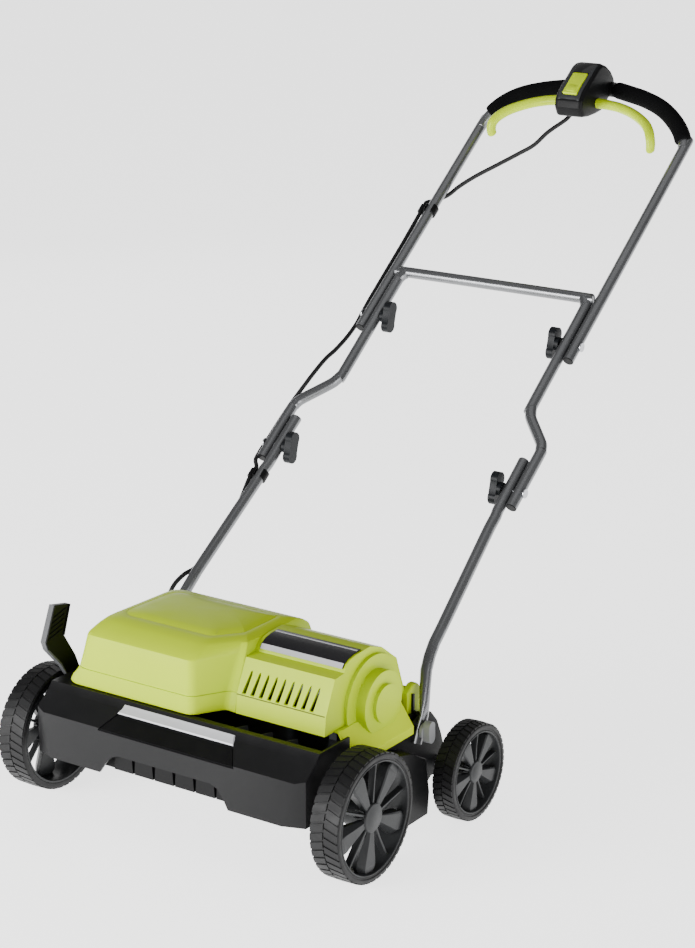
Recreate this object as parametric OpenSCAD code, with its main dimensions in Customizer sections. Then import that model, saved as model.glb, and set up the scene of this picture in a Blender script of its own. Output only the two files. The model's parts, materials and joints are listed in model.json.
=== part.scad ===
// Electric lawn dethatcher: moulded deck, spring-tine reel driven by a belt, four wheels, folding handle.
// Built around the front axle (y = 0, ground z = 0, middle plane x = 0), then moved so that the
// origin is the centre of the footprint on the ground. +X is the belt side, the handle is at +Y.

/* [Wheels] */
// Diameter of a front wheel
front_wheel_d = 200; // [196:1:202]
// Width of a front tyre
front_tyre_w = 51; // [46:1:51]
// Diameter of a rear wheel
rear_wheel_d = 156; // [152:1:158]
// Width of a rear tyre
rear_tyre_w = 38; // [34:1:38]
// Distance between the front and rear axles
wheelbase = 269; // [267:1:272]
// Diameter of the stub axles
axle_d = 12; // [10:1:12]
// Running clearance of a shaft in its bore, on the radius
running = 0.05; // [0.03:0.01:0.08]

/* [Reel] */
// Reach of the spring tines from the reel axis
tine_reach = 58; // [50:1:60]
// Number of tine bars around the reel
tine_bars_n = 4; // [3:1:6]
// Number of spring tines on each bar
tines_per_bar = 5; // [3:1:6]
// Diameter of the reel shaft
reel_shaft_d = 16; // [12:1:16]

/* [Handle] */
// Outer diameter of the handle tubes
tube_d = 19; // [19:0.1:19.2]
// Wall of the handle tubes
tube_wall = 1.2; // [1:0.1:1.6]
// Slope of the handle above the ground, in degrees
handle_slope = 37.5; // [36:0.5:38]
// Diameter of the clamp bolts
bolt_d = 6; // [5:1:6]
// Outer diameter of the foam grips
grip_d = 30; // [28:1:31]

/* [Hidden] */
$fn = 48;
eps = 0.01;

// Footprint centre, from the front of the wheels to the back of the grips
foot_mid_y = 553.27;

// Front axle and depth crank: [y, z]
front_axle = [0, front_wheel_d / 2];
crank_pivot = [44, 112];
crank_shaft_r = 6;
front_wheel_in = 273;
rear_axle = [wheelbase, rear_wheel_d / 2];
rear_wheel_in = 296;
axle_r = axle_d / 2;

// Reel and motor: [y, z]
reel_axis = [135, 78];
motor_axis = [130, 221];
reel_shaft_r = reel_shaft_d / 2;
reel_half = 217;
reel_bush_r = 19;
tine_bar_radius = 24;
tine_bar_r = 3;
tine_wire_r = 1.4;
reel_pulley_r = 40;
motor_pulley_r = 14;
belt_x = 238;
belt_w = 10;
belt_t = 3;
motor_shaft_r = 5;
motor_r = 48;

// Deck: half widths and the side profiles, [y, z]
deck_half = 255;
wall = 4;
deck_outline = [
    [-93, 96], [-86, 165], [-53, 191], [-45, 201], [60, 201], [190, 160], [226, 160],
    [226, 200], [230, 200], [230, 150], [250, 150], [250, 92]
];
bay_left = -222;
bay_outline = [[-34, 205], [-34, 176], [-26, 168], [60, 154], [222, 154], [222, 205]];
badge_slope = 38.2;
cavity_outline = [[-95, 90], [-89, 96], [-82, 163], [-42, 163], [56, 148], [252, 146], [252, 90]];
pod_half = 288;
pod_outline = [[106, 24], [196, 24], [200, 60], [190, 118], [150, 140], [108, 150]];
cheek_outline = [
    [60, 196], [190, 158], [226, 172], [250, 168], [268, 148], [280, 122], [290, 92], [286, 60], [252, 60],
    [196, 24], [106, 24], [106, 96], [60, 96]
];

// Rear flap hinge: [y, z]
flap_hinge = [238, 198];
flap_lug_x = 100;
flap_pin_r = 3;

// Handle pivots at the deck: [y, z], and the layers along x
handle_pivot = [212, 152];
pivot_bolt_r = 4;
cheek_x = [246, 257];
bracket_r = 20;
bracket_t = 8;

// Handle frame: origin on the lower fold axis, +Y up the slope, +Z out of the top face
lower_fold = [522, 450];
upper_fold_s = 304;
tube_r = tube_d / 2;
bolt_r = bolt_d / 2;
upper_tube_x = 208;
middle_tube_out_x = 246.5;
grip_r = grip_d / 2;

tube_in_r = tube_r - tube_wall;

// Right half of each bent tube, in the handle frame
grip_bar = [864, 25];
upper_bend = [
    [38, 864, 25], [64, 857, 26], [100, 847, 27], [135, 833, 27], [160, 819, 24], [180, 804, 18],
    [194, 790, 11], [203, 776, 5], [207, 762, 1], [208, 748, 0], [208, 272, 0]
];
middle_bend = [
    [170, 404, 4], [177, 402, 4], [183, 397, 4], [187, 389, 3], [188.5, 380, 2], [188.5, 176, 0],
    [190, 164, 0], [194, 153, 0], [201, 142, 0], [233, 107, 0], [241, 97, 0], [245, 86, 0],
    [246.5, 74, 0], [246.5, -31, 0]
];
// Lower tubes, in the machine frame, and how far the round section is flattened at each point:
// it ends in a paddle at the deck
lower_bend = [
    [226, 570, 487], [227, 522, 450], [227.2, 488.68, 424.43], [229, 479.16, 417.13], [229, 460.12, 402.52],
    [239.5, 306, 284], [240, 284, 266], [242, 268, 250], [245, 254, 232],
    [252, 240, 208], [258, 230, 188], [262.5, 222, 172], [262.5, 213, 154], [262.5, 203, 132]
];
lower_flatten = [
    [0, 0], [0, 0], [0, 0], [0, 0], [0, 0], [0, 0], [0, 0], [0, 0], [0, 0],
    [0.3, -1], [1, -2.5], [2, -4.9], [2.4, -5.5], [2.4, -5.5]
];
tube_sides = 24;

// Foam grips: how many points of the bar each one covers
grip_points = [8, 7];

// Switch box: side outline [s, o], in the handle frame
box_half = 28;
collar_half = 33.5;
box_outline = [
    [759, 58], [762, 76], [772, 86], [790, 92], [852, 92], [866, 86], [876, 72], [883, 52], [884, 34],
    [876, 20], [819, 17], [798, 28], [776, 43]
];
box_inner = [
    [763, 60], [766, 74], [775, 83], [791, 88.5], [850, 88.5], [862, 83], [872, 68], [878, 50], [858, 48],
    [842, 40], [838, 22], [822, 20.5], [801, 30], [781, 45]
];
lever_pivot = [14, 812];
lever_blade = [
    [38, 821], [75, 817], [104, 807], [126, 796], [145, 783], [160, 767], [168, 752], [171, 738],
    [168, 724], [152, 726], [153, 740], [147, 753], [133, 767], [110, 782], [88, 792], [66, 799], [38, 803]
];
lever_tip = [[170.8, 742], [168, 724], [152, 726], [153, 742]];

// Supply lead: clipped along the left of the handle, one run on each section
lead_r = 3.8;
lead_upper_run = [
    [-10, 788, 40], [-15, 778, 38.5], [-20, 768, 37], [-45, 742, 30], [-66, 718, 19], [-93, 700, 11],
    [-129, 674, 3], [-162, 650, -4], [-187, 627, -10], [-204, 606, -15], [-219, 588, -11],
    [-225.5, 571, 0], [-225.5, 563.5, 0], [-225.5, 544.5, 0], [-225.5, 536, 0], [-223, 470, 1],
    [-222.5, 404, 1], [-223.5, 340, -1], [-225.5, 306, -5]
];
lead_middle_run = [
    [-225.5, 305, -5], [-226.5, 285, -8], [-229, 255, -8], [-230, 217, 0], [-232, 189, 8], [-236, 159, 10],
    [-244, 125, 6], [-259, 83, -6], [-262, 42, -7.5], [-264, 12, -9], [-264, -12, -8]
];
lead_lower_run = [
    [-264, 517, 436], [-261, 499, 425], [-247, 482.33, 419.56], [-246, 476.78, 415.3],
    [-246, 469.64, 409.82], [-246, 462.5, 404.34], [-246, 456.94, 400.08], [-244, 438, 380],
    [-243, 400, 335], [-247, 360, 304], [-254, 320, 283], [-260, 296, 276], [-266, 276, 262],
    [-269, 264, 240], [-270, 258, 205], [-271, 253, 175], [-273, 248.5, 159], [-271.5, 246.2, 151],
    [-268.5, 246, 150], [-265.4, 246, 150]
];
// Clips: [tube x, lead x, s] of the upper and the lower one
lead_clips = [[-208, -225.5, 554], [-229, -246, -66]];
lead_gland = [246, 150];
lead_steps = 5;
lead_sides = 8;

// ---- Shared shapes ----

// Extrudes a [y, z] outline along x
module along_x(x0, x1) {
    translate([x0, 0, 0]) rotate([90, 0, 90]) linear_extrude(x1 - x0) children();
}

// Rod along x about a [y, z] axis
module rod_x(r, x0, x1, axis) {
    translate([x0, axis[0], axis[1]]) rotate([0, 90, 0]) cylinder(r = r, h = x1 - x0);
}

// Straight rod between two points
module strut(a, b, r) {
    d = b - a;
    translate(a) rotate([0, acos(d[2] / norm(d)), atan2(d[1], d[0])]) cylinder(r = r, h = norm(d));
}

// Mirrored pair about the middle plane
module both_sides() {
    children();
    mirror([1, 0, 0]) children();
}

// Puts x-positive children on the chosen side: 1 right, -1 left
module on_side(side) {
    mirror([side < 0 ? 1 : 0, 0, 0]) children();
}

normal_dir = [0, -sin(handle_slope), cos(handle_slope)];
module handle_frame() {
    translate([0, lower_fold[0], lower_fold[1]]) rotate([handle_slope, 0, 0]) children();
}

function flip_x(p) = [-p[0], p[1], p[2]];
function reversed(list) = [for (i = [len(list) - 1 : -1 : 0]) list[i]];
function whole_bend(half) = concat(reversed([for (p = half) flip_x(p)]), half);

// Lead: Catmull-Rom curve through its points, swept as one closed tube
function curve_at(a, b, c, d, t) = 0.5 * (2 * b + (c - a) * t + (2 * a - 5 * b + 4 * c - d) * t * t
                                          + (3 * b - a - 3 * c + d) * t * t * t);
function curve(p, steps) = [
    for (i = [0 : len(p) - 2], k = [0 : (i == len(p) - 2 ? steps : steps - 1)])
        curve_at(p[max(i - 1, 0)], p[i], p[i + 1], p[min(i + 2, len(p) - 1)], k / steps)
];
function unit(v) = v / norm(v);
// One ring of a sweep about point i: half widths w across and along the up direction
function ring(p, i, w, sides, up) =
    let (t = unit(p[min(i + 1, len(p) - 1)] - p[max(i - 1, 0)]), u = unit(cross(t, up)), v = cross(u, t))
    [for (k = [0 : sides - 1]) p[i] + w[0] * cos(360 * k / sides) * u + w[1] * sin(360 * k / sides) * v];
function round_w(r) = [r, r];
function width_at(w, i) = is_num(w[0]) ? w : w[i];
function sweep(p, w, sides, up) = [for (i = [0 : len(p) - 1]) each ring(p, i, width_at(w, i), sides, up)];
function skin(n, sides, from) = [
    for (i = [0 : n - 2], k = [0 : sides - 1])
        let (a = from + i * sides, b = a + sides, m = (k + 1) % sides)
        [a + k, b + k, b + m, a + m]
];
module swept_rod(points, w, sides, up) {
    n = len(points);
    caps = [[for (k = [0 : sides - 1]) k], [for (k = [sides - 1 : -1 : 0]) (n - 1) * sides + k]];
    polyhedron(sweep(points, w, sides, up), concat(skin(n, sides, 0), caps));
}
module swept_pipe(points, w_out, w_in, sides, up) {
    n = len(points);
    last = (n - 1) * sides;
    inner = n * sides;
    rims = [
        for (k = [0 : sides - 1]) let (m = (k + 1) % sides) each [
            [k, m, inner + m, inner + k],
            [last + m, last + k, inner + last + k, inner + last + m]
        ]
    ];
    inner_skin = [for (f = skin(n, sides, inner)) reversed(f)];
    polyhedron(concat(sweep(points, w_out, sides, up), sweep(points, w_in, sides, up)),
               concat(skin(n, sides, 0), inner_skin, rims));
}

// ---- Deck ----

module deck_shell() {
    color("#3a3b3c")
    difference() {
        union() {
            along_x(-deck_half, deck_half) polygon(deck_outline);
            both_sides() along_x(cheek_x[0], cheek_x[1]) polygon(cheek_outline);
            flap_lugs();
        }
        along_x(bay_left, deck_half - wall) polygon(bay_outline);
        along_x(-deck_half + wall, deck_half - wall) polygon(cavity_outline);
        front_corner_cuts();
        front_arch(-100, -70);
        badge_recess();
        belt_slot();
        side_panel_seat();
        tube_notches();
        both_sides() rod_x(bracket_r, cheek_x[0] - bracket_t - 5, cheek_x[0], handle_pivot);
        both_sides() rod_x(crank_shaft_r + running, deck_half - 2 * wall, cheek_x[1] + 2, crank_pivot);
        both_sides() rod_x(pivot_bolt_r, cheek_x[0] - 3, cheek_x[1] + 1, handle_pivot);
        both_sides() rod_x(axle_r, cheek_x[0] - 3, cheek_x[1] + 1, rear_axle);
        rod_x(flap_pin_r, -230, 230, flap_hinge);
    }
    color("#3a3b3c") reel_partitions();
    color("#3a3b3c") front_corner_walls();
}

// Slanted front corners of the apron: what is cut away, and the wall behind the cut
module front_corner_cuts() {
    both_sides() translate([214, -95, 0]) rotate([0, 0, 20]) translate([0, -40, 60]) cube([80, 40, 160]);
}
module front_corner_walls() {
    both_sides() intersection() {
        along_x(200, deck_half) polygon(deck_outline);
        translate([214, -95, 0]) rotate([0, 0, 20]) translate([0, 0, 60]) cube([80, wall, 103]);
    }
}

// Arched opening in the front apron: right half of its outline, [x, z]
arch_side = [[88, 129], [101, 124], [112, 112], [122, 97], [124, 90]];
module front_arch(y0, y1) {
    translate([0, y1, 0]) rotate([90, 0, 0]) linear_extrude(y1 - y0)
        polygon(concat(reversed([for (p = arch_side) [-p[0], p[1]]]), arch_side));
}

// Frame of the slanted badge face: +Y up the slope, +Z out of it
badge_depth = 3;
module badge_frame() {
    translate([0, deck_outline[1][0], deck_outline[1][1]]) rotate([badge_slope, 0, 0]) children();
}
module badge_recess() {
    badge_frame() translate([0, 0, -badge_depth]) linear_extrude(10 * badge_depth)
        polygon([[-131, -5], [-106, 39.5], [106, 39.5], [131, -5]]);
}

// Slot in the bay floor for the belt
module belt_slot() {
    translate([belt_x - 10, reel_axis[0] - 50, 120]) cube([20, 100, 60]);
}

// Bevelled seat of the side panel, which sits on the belt side
module side_panel_seat() {
    translate([0, panel_y[1], 0]) rotate([90, 0, 0]) linear_extrude(panel_y[1] - panel_y[0]) polygon([
        [226, 200.4], [232.6, 200.4], [258.4, 162.1], [258.4, 150], [300, 150], [300, 230], [226, 230]
    ]);
}

// Notches in the rear wall that the handle tubes pass through
module tube_notches() {
    both_sides() translate([240, 222, 173]) cube([20, 10, 40]);
}

module flap_lugs() {
    both_sides() along_x(flap_lug_x, flap_lug_x + 8) union() {
        translate([228, 147]) square([15, 51]);
        translate(flap_hinge) circle(r = 10);
    }
}

// Partitions that carry the reel bearings and part the belt side from the reel chamber
module reel_partitions() {
    both_sides() difference() {
        along_x(reel_half + 3, reel_half + 7)
            polygon([[60, 151], [230, 151], [230, 60], [196, 40], [75, 40], [60, 60]]);
        rod_x(reel_bush_r, reel_half, reel_half + 10, reel_axis);
    }
}

// Lower side pods between the wheels
module side_pods() {
    color("#2b2c2d") both_sides() difference() {
        along_x(cheek_x[1], pod_half) polygon(pod_outline);
        along_x(cheek_x[1] - eps, pod_half - wall)
            polygon([[110, 20], [192, 20], [195, 60], [186, 114], [149, 135], [112, 145]]);
    }
}

// Grille in the arch: wedge panels with narrow gaps between them
grille_gaps = 5;
grille_pitch = 39;
grille_shift = 13;
module grille_panel() {
    rotate([90, 0, 0]) linear_extrude(9) polygon([[-18.1, 0], [-15.9, 28], [15.9, 28], [18.1, 0]]);
}
module front_grille() {
    color("#1d1e1f") difference() {
        union() {
            translate([-130, -76, 100]) cube([260, 4, 46]);
            for (i = [0 : grille_gaps])
                translate([(i - grille_gaps / 2) * grille_pitch + grille_shift, -72, 102]) grille_panel();
        }
        translate([-150, -90, 80]) cube([300, 20, 21]);
    }
}

module badge_plate() {
    color("#2a2b2c") badge_frame() translate([0, 0, -badge_depth]) linear_extrude(1.6)
        polygon([[-126, 0], [-110.6, 28], [110.6, 28], [126, 0]]);
}

module badge_strip() {
    color("#d2d3d6") badge_frame() translate([0, 0, -badge_depth]) linear_extrude(badge_depth + 0.4)
        polygon([[-110.8, 28.4], [-105.4, 38.8], [105.4, 38.8], [110.8, 28.4]]);
}

// ---- Hoods ----

hood_wall = 3;
hood_split_x = 62;
hood_base_z = 201.5;
module hood_left() {
    color("#c4d32c") difference() {
        hull() {
            hood_left_ring(hood_base_z, -232, 0);
            hood_left_ring(235, -213, 4);
            translate([0, 0, 288]) linear_extrude(1) polygon([
                [-188, -34], [-196, -20], [-196, 205], [-180, 215],
                [hood_split_x, 215], [hood_split_x, 30], [15, -34]
            ]);
            translate([0, 0, 306]) linear_extrude(1)
                polygon([[-172, 2], [-150, 190], [hood_split_x, 190], [hood_split_x, 36], [22, 2]]);
            translate([0, 0, 317]) linear_extrude(1)
                polygon([[-140, 60], [-130, 160], [hood_split_x, 160], [hood_split_x, 60]]);
        }
        hull() {
            translate([0, 0, hood_base_z - 1]) linear_extrude(40)
                polygon([[-200, -34], [8, -34], [58, 30], [58, 220], [-206, 220]]);
            translate([0, 0, 283]) linear_extrude(1)
                polygon([[-180, -30], [-191, -18], [-191, 203], [-178, 211], [58, 211], [58, 34], [11, -30]]);
            translate([0, 0, 302]) linear_extrude(1)
                polygon([[-164, 7], [-146, 186], [58, 186], [58, 42], [20, 7]]);
        }
        hood_screw_set([-150, -30]);
    }
}
module hood_left_ring(z, left, inset) {
    translate([0, 0, z]) linear_extrude(1) polygon([
        [left, -22], [left + 12, -40 + inset / 2], [14, -40 + inset / 2], [42, 8], [hood_split_x, 30],
        [hood_split_x, 226 - inset], [left + 10, 226 - inset], [left, 214]
    ]);
}

hood_right_end = 226;
hood_right_outline = [
    [9, 201.5], [12, 232], [36, 284], [60, 286], [62, 291], [67, 297], [76, 302], [90, 305], [110, 306.1],
    [128, 307], [160, 296], [200, 266], [216, 222], [224, 201.5]
];
hood_right_inner = [
    [13, 201], [16, 231], [39, 280], [64, 282], [66, 289], [79, 298], [92, 301], [127, 303], [158, 292],
    [197, 264], [212, 221], [220, 201]
];
vent_n = 9;
vent_pitch = 15.5;
vent_outline = [[0, 234], [7, 234], [10.5, 262], [9.5, 268], [7, 266]];
module hood_right() {
    color("#c0cf2e") difference() {
        along_x(hood_split_x + 0.3, hood_right_end) polygon(hood_right_outline);
        along_x(hood_split_x + 3, hood_right_end - hood_wall) polygon(hood_right_inner);
        for (i = [0 : vent_n - 1]) translate([71 + i * vent_pitch, 60, 0]) rotate([90, 0, 0])
            linear_extrude(60) polygon(vent_outline);
        rod_x(10, hood_right_end - 4, hood_right_end + 1, motor_axis);
    }
}

module power_label() {
    color("#222328") along_x(70, 222) polygon([
        [62, 291], [67, 297], [76, 302], [90, 305], [108, 306], [108, 307.8], [89.7, 306.8], [75.3, 303.7],
        [65.7, 298.4], [60.5, 292]
    ]);
}

// Stepped round cover over the pulleys
module belt_cover() {
    color("#c2d12e") difference() {
        union() {
            rod_x(72, hood_right_end, 232, motor_axis);
            rod_x(50, 232, 249.5, motor_axis);
            rod_x(30, 249.5, 256, motor_axis);
        }
        rod_x(69, hood_right_end - eps, 229, motor_axis);
        rod_x(47, 228, 246.5, motor_axis);
        translate([0, 240, 0]) rotate([90, 0, 0]) linear_extrude(200)
            polygon([[200, 100], [200, 203.1], [234.1, 203.1], [261.1, 163], [290, 163], [290, 100]]);
    }
}

panel_y = [32, 196];
panel_outline = [
    [226.5, 203], [234, 203], [261, 163], [261, 150],
    [258.5, 150], [258.5, 162.2], [232.7, 200.5], [226.5, 200.5]
];
module side_panel() {
    color("#d5e05a") difference() {
        translate([0, panel_y[1], 0]) rotate([90, 0, 0])
            linear_extrude(panel_y[1] - panel_y[0]) polygon(panel_outline);
        translate([228, 98, 182]) cube([16.5, 64, 40]);
    }
}

module hood_screw_set(at_x) {
    for (x = at_x) translate([x, 208, hood_base_z + 60]) rotate([-60, 0, 0]) cylinder(r = 4, h = 4);
}
module hood_screws() {
    color("#303133") hood_screw_set([-150, -30]);
}

// ---- Drive ----

motor_x = [78, 196];
motor_lid = 3;
bush_r = 9;
module motor_can() {
    color("#8b8f94") difference() {
        rod_x(motor_r, motor_x[0], motor_x[1], motor_axis);
        rod_x(motor_r - wall, motor_x[0] + motor_lid, motor_x[1] - motor_lid, motor_axis);
        rod_x(bush_r, motor_x[0] - 1, motor_x[1] + 1, motor_axis);
    }
    color("#8b8f94") motor_feet();
}
module motor_feet() {
    for (x = [90, 170]) difference() {
        translate([x, motor_axis[0] - 30, 154]) cube([14, 60, 30]);
        rod_x(motor_r, motor_x[0], motor_x[1], motor_axis);
    }
}

// Plain bushes of the motor shaft and the reel shaft
module shaft_bearings() {
    color("#c9ccd0") {
        for (x = [motor_x[0], motor_x[1] - motor_lid])
            bush(bush_r, motor_shaft_r + running, x, x + motor_lid, motor_axis);
        both_sides() bush(reel_bush_r, reel_shaft_r + running, reel_half + 1, reel_half + 9, reel_axis);
    }
}
module bush(r, bore_r, x0, x1, axis) {
    difference() {
        rod_x(r, x0, x1, axis);
        rod_x(bore_r, x0 - 1, x1 + 1, axis);
    }
}

module armature() {
    color("#a3765a") union() {
        rod_x(motor_shaft_r, 70, 245, motor_axis);
        rod_x(38, 95, 160, motor_axis);
        rod_x(16, 163, 182, motor_axis);
    }
}

module cooling_fan() {
    color("#303234") union() {
        difference() {
            rod_x(14, 198, 214, motor_axis);
            rod_x(motor_shaft_r, 197, 215, motor_axis);
        }
        for (a = [0 : 45 : 315]) translate([198, motor_axis[0], motor_axis[1]]) rotate([a, 0, 0])
            translate([0, -1.5, 12]) cube([14, 3, 30]);
    }
}

module motor_pulley() {
    color("#55585b") difference() {
        union() {
            rod_x(motor_pulley_r, belt_x - belt_w / 2, belt_x + belt_w / 2, motor_axis);
            rod_x(motor_pulley_r + 3, belt_x - belt_w / 2 - 2, belt_x - belt_w / 2, motor_axis);
        }
        rod_x(motor_shaft_r, 200, 260, motor_axis);
    }
}

// Belt loop: two arcs and two tangent runs, 0.3 mm clear of the pulleys
module drive_belt() {
    color("#1b1c1d") along_x(belt_x - belt_w / 2, belt_x + belt_w / 2) difference() {
        belt_loop(0.3 + belt_t);
        belt_loop(0.3);
    }
}
module belt_loop(grow) {
    hull() {
        translate(motor_axis) circle(r = motor_pulley_r + grow, $fn = 48);
        translate(reel_axis) circle(r = reel_pulley_r + grow, $fn = 96);
    }
}

module reel_pulley() {
    color("#6a6d70") difference() {
        union() {
            rod_x(reel_pulley_r, belt_x - belt_w / 2, belt_x + belt_w / 2, reel_axis);
            rod_x(reel_pulley_r + 2.5, belt_x - belt_w / 2 - 2, belt_x - belt_w / 2, reel_axis);
            rod_x(14, 228, belt_x, reel_axis);
        }
        rod_x(reel_shaft_r, 220, 260, reel_axis);
    }
}

module reel_shaft() {
    color("#b9bcc0") rod_x(reel_shaft_r, -reel_half - 12, 246, reel_axis);
}

disc_x = [-180, -68, 68, 180];
disc_t = 4;
disc_r = 32;
module reel_discs() {
    color("#4a4d50") for (x = disc_x) difference() {
        rod_x(disc_r, x - disc_t / 2, x + disc_t / 2, reel_axis);
        rod_x(reel_shaft_r, x - disc_t, x + disc_t, reel_axis);
        for (i = [0 : tine_bars_n - 1]) around_reel(i * 360 / tine_bars_n)
            rod_x(tine_bar_r, x - disc_t, x + disc_t, [0, tine_bar_radius]);
    }
}
// Children drawn about a reel bar at [0, tine_bar_radius], turned about the reel axis
module around_reel(a) {
    translate([0, reel_axis[0], reel_axis[1]]) rotate([a, 0, 0]) children();
}

module tine_bars() {
    color("#9a9da1") for (i = [0 : tine_bars_n - 1]) around_reel(i * 360 / tine_bars_n)
        rod_x(tine_bar_r, -184, 184, [0, tine_bar_radius]);
}

coil_r = 6;
coil_half = 7;
tine_pitch = 68;
tine_stagger = 15;
function tine_x(k) = (k - (tines_per_bar - 1) / 2) * tine_pitch;
module spring_tines() {
    color("#c3c6ca") for (i = [0 : tine_bars_n - 1], k = [0 : tines_per_bar - 1])
        around_reel(i * 360 / tine_bars_n)
            translate([tine_x(k) + (i % 2 == 0 ? tine_stagger : -tine_stagger), 0, 0]) spring_tine();
}
module spring_tine() {
    difference() {
        rod_x(coil_r, -coil_half, coil_half, [0, tine_bar_radius]);
        rod_x(tine_bar_r, -coil_half - 1, coil_half + 1, [0, tine_bar_radius]);
    }
    for (x = [-coil_half + tine_wire_r, coil_half - tine_wire_r])
        translate([x, coil_r - tine_wire_r, tine_bar_radius])
            cylinder(r = tine_wire_r, h = tine_reach - tine_bar_radius);
}

module terminal_box() {
    color("#2e3032") difference() {
        translate([-150, 60, 154]) cube([110, 90, 70]);
        translate([-146, 64, 158]) cube([102, 82, 63]);
    }
}

// ---- Running gear ----

module rear_axles() {
    color("#b9bcc0") both_sides() union() {
        rod_x(axle_r, cheek_x[0], rear_wheel_in + rear_tyre_w - 8, rear_axle);
        rod_x(axle_r + 4, cheek_x[1], rear_wheel_in - 4, rear_axle);
    }
}

module front_axle_crank() {
    color("#b9bcc0") union() {
        rod_x(crank_shaft_r, -258, 258, crank_pivot);
        both_sides() along_x(258, 263) difference() {
            union() {
                translate(crank_pivot) circle(r = 13);
                translate(front_axle) circle(r = 13);
                polygon([
                    [front_axle[0], front_axle[1] - 13], [crank_pivot[0] + 3, crank_pivot[1] - 12.6],
                    [crank_pivot[0] - 3, crank_pivot[1] + 12.6], [front_axle[0] - 3, front_axle[1] + 12.6]
                ]);
            }
        }
        both_sides() rod_x(axle_r, 262, front_wheel_in + front_tyre_w - 10, front_axle);
    }
}

// Depth lever: a stem beside the wheel and a wider hand plate above it
lever_x = [-271, -263];
lever_plate_x = -272.5;
module depth_lever() {
    color("#333436") {
        along_x(lever_x[0], lever_x[1])
            polygon([[22, 220], [38, 180], [58, 118], [40, 100], [30, 112], [12, 176], [-12, 214]]);
        along_x(lever_plate_x, lever_x[1])
            polygon([[-25, 317], [12, 309], [-4, 262], [22, 220], [-12, 214], [-43, 248], [-48, 262]]);
    }
}

tyre_lip = 11.5;
module tyre_front_left() { on_side(-1) tyre(front_wheel_d / 2, front_wheel_in, front_tyre_w, front_axle); }
module tyre_front_right() { tyre(front_wheel_d / 2, front_wheel_in, front_tyre_w, front_axle); }
module tyre_rear_left() { on_side(-1) tyre(rear_wheel_d / 2, rear_wheel_in, rear_tyre_w, rear_axle); }
module tyre_rear_right() { tyre(rear_wheel_d / 2, rear_wheel_in, rear_tyre_w, rear_axle); }
module tyre(r, x_in, w, axle) {
    color("#26272a") translate([x_in, axle[0], axle[1]]) rotate([0, 90, 0]) rotate_extrude($fn = 96)
        polygon([[r - tyre_lip, 0], [r - 5, 0], [r, 5], [r, w - 5], [r - 5, w], [r - tyre_lip, w]]);
}

module rim_front_left() { on_side(-1) rim(front_wheel_d / 2, front_wheel_in, front_tyre_w, front_axle); }
module rim_front_right() { rim(front_wheel_d / 2, front_wheel_in, front_tyre_w, front_axle); }
module rim_rear_left() { on_side(-1) rim(rear_wheel_d / 2, rear_wheel_in, rear_tyre_w, rear_axle); }
module rim_rear_right() { rim(rear_wheel_d / 2, rear_wheel_in, rear_tyre_w, rear_axle); }
blade_n = 5;
blade_start = 46;
module rim(r, x_in, w, axle) {
    rim_r = r - tyre_lip;
    hub_r = r * 0.23;
    color("#626466") translate([x_in, axle[0], axle[1]]) rotate([90, 0, 90]) difference() {
        union() {
            difference() {
                cylinder(r = rim_r, h = w, $fn = 96);
                translate([0, 0, -1]) cylinder(r = rim_r - 4, h = w + 2, $fn = 96);
            }
            translate([0, 0, 4]) cylinder(r = hub_r, h = w - 7);
            for (i = [0 : blade_n - 1]) rotate([0, 0, blade_start + i * 360 / blade_n])
                translate([0, -0.13 * r, w - 15]) cube([rim_r - 2, 0.26 * r, 8]);
        }
        translate([0, 0, -1]) cylinder(r = axle_r + running, h = w - 6);
    }
}

// ---- Rear flap ----

flap_half = 222;
flap_spans = [[-flap_half, -110], [-98, 98], [110, flap_half]];
module rear_flap() {
    color("#a9b82a") difference() {
        union() {
            for (span = flap_spans) rod_x(7, span[0], span[1], flap_hinge);
            for (span = flap_spans) along_x(span[0], span[1])
                polygon([[240, 204], [246, 198], [251, 172], [248, 171], [238, 192]]);
            along_x(-flap_half, flap_half) polygon([[251, 172], [300, 62], [297, 60], [247.5, 171]]);
        }
        rod_x(flap_pin_r + running, -flap_half - 8, flap_half + 8, flap_hinge);
    }
}

module flap_pin() {
    color("#b9bcc0") rod_x(flap_pin_r, -flap_half - 2, flap_half + 2, flap_hinge);
}

// ---- Handle ----

module handle_brackets() {
    color("#242526") both_sides() difference() {
        rod_x(bracket_r, cheek_x[0] - bracket_t, cheek_x[0], handle_pivot);
        rod_x(pivot_bolt_r, cheek_x[0] - bracket_t - 1, cheek_x[0] + 1, handle_pivot);
    }
}

module pivot_bolts() {
    color("#b9bcc0") both_sides() union() {
        rod_x(pivot_bolt_r, cheek_x[0] - bracket_t, 279, handle_pivot);
        rod_x(7, cheek_x[0] - bracket_t - 4, cheek_x[0] - bracket_t, handle_pivot);
    }
}

module pivot_knob_left() { color("#8f9296") on_side(-1) pivot_knob(); }
module pivot_knob_right() { color("#8f9296") pivot_knob(); }
module pivot_knob() {
    difference() {
        union() {
            rod_x(12, 267, 272, handle_pivot);
            along_x(272, 284) translate(handle_pivot) union() {
                square([17, 18], center = true);
                translate([0, 9]) circle(r = 8.5);
                translate([0, -9]) circle(r = 8.5);
            }
        }
        rod_x(pivot_bolt_r + running, 260, 280, handle_pivot);
    }
}

module lower_tubes() {
    color("#a7a9ab") both_sides() difference() {
        swept_pipe(lower_bend, [for (f = lower_flatten) round_w(tube_r) + f],
                   [for (f = lower_flatten) round_w(tube_in_r) + f], tube_sides, [1, 0, 0]);
        rod_x(pivot_bolt_r + running, 255, 270, handle_pivot);
        rod_x(bolt_r + running, 210, 240, lower_fold);
    }
}

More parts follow.
